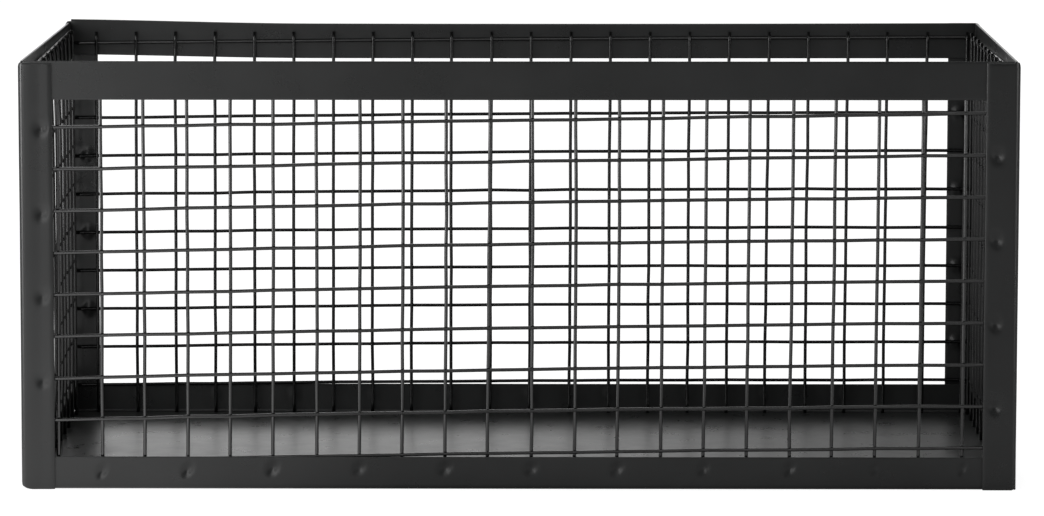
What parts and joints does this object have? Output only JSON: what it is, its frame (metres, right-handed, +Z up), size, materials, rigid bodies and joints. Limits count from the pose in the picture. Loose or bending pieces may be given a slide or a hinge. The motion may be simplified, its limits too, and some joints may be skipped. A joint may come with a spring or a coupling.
{
  "type": "wire locker basket",
  "caption": "Open-topped rectangular basket with folded corner posts, a rim of flat rails, a folded sheet floor tray and welded wire mesh on its sides.",
  "frame": {"origin": "middle of the resting face, at the bottom of the basket's box", "axes": "+X to the right along the long front side, +Y from front to rear, +Z up; the front faces -Y"},
  "size_m": [0.441, 0.216, 0.191],
  "materials": {
    "frame_coat": "semi-gloss black powder coat on sheet steel",
    "wire_coat": "semi-gloss black powder coat on drawn wire"
  },
  "bodies": {
    "root": {"front_left_post": "frame_coat", "front_right_post": "frame_coat", "rear_left_post": "frame_coat", "rear_right_post": "frame_coat", "floor_tray": "frame_coat", "front_top_rail": "frame_coat", "rear_top_rail": "frame_coat", "left_top_rail": "frame_coat", "right_top_rail": "frame_coat", "front_uprights": "wire_coat", "rear_uprights": "wire_coat", "left_uprights": "wire_coat", "right_uprights": "wire_coat", "front_top_wire": "wire_coat", "rear_top_wire": "wire_coat", "left_top_wire": "wire_coat", "right_top_wire": "wire_coat", "front_bottom_wire": "wire_coat", "rear_bottom_wire": "wire_coat", "left_bottom_wire": "wire_coat", "right_bottom_wire": "wire_coat", "front_cross_wires": "wire_coat", "rear_cross_wires": "wire_coat", "left_cross_wires": "wire_coat", "right_cross_wires": "wire_coat"}
  },
  "joints": []
}
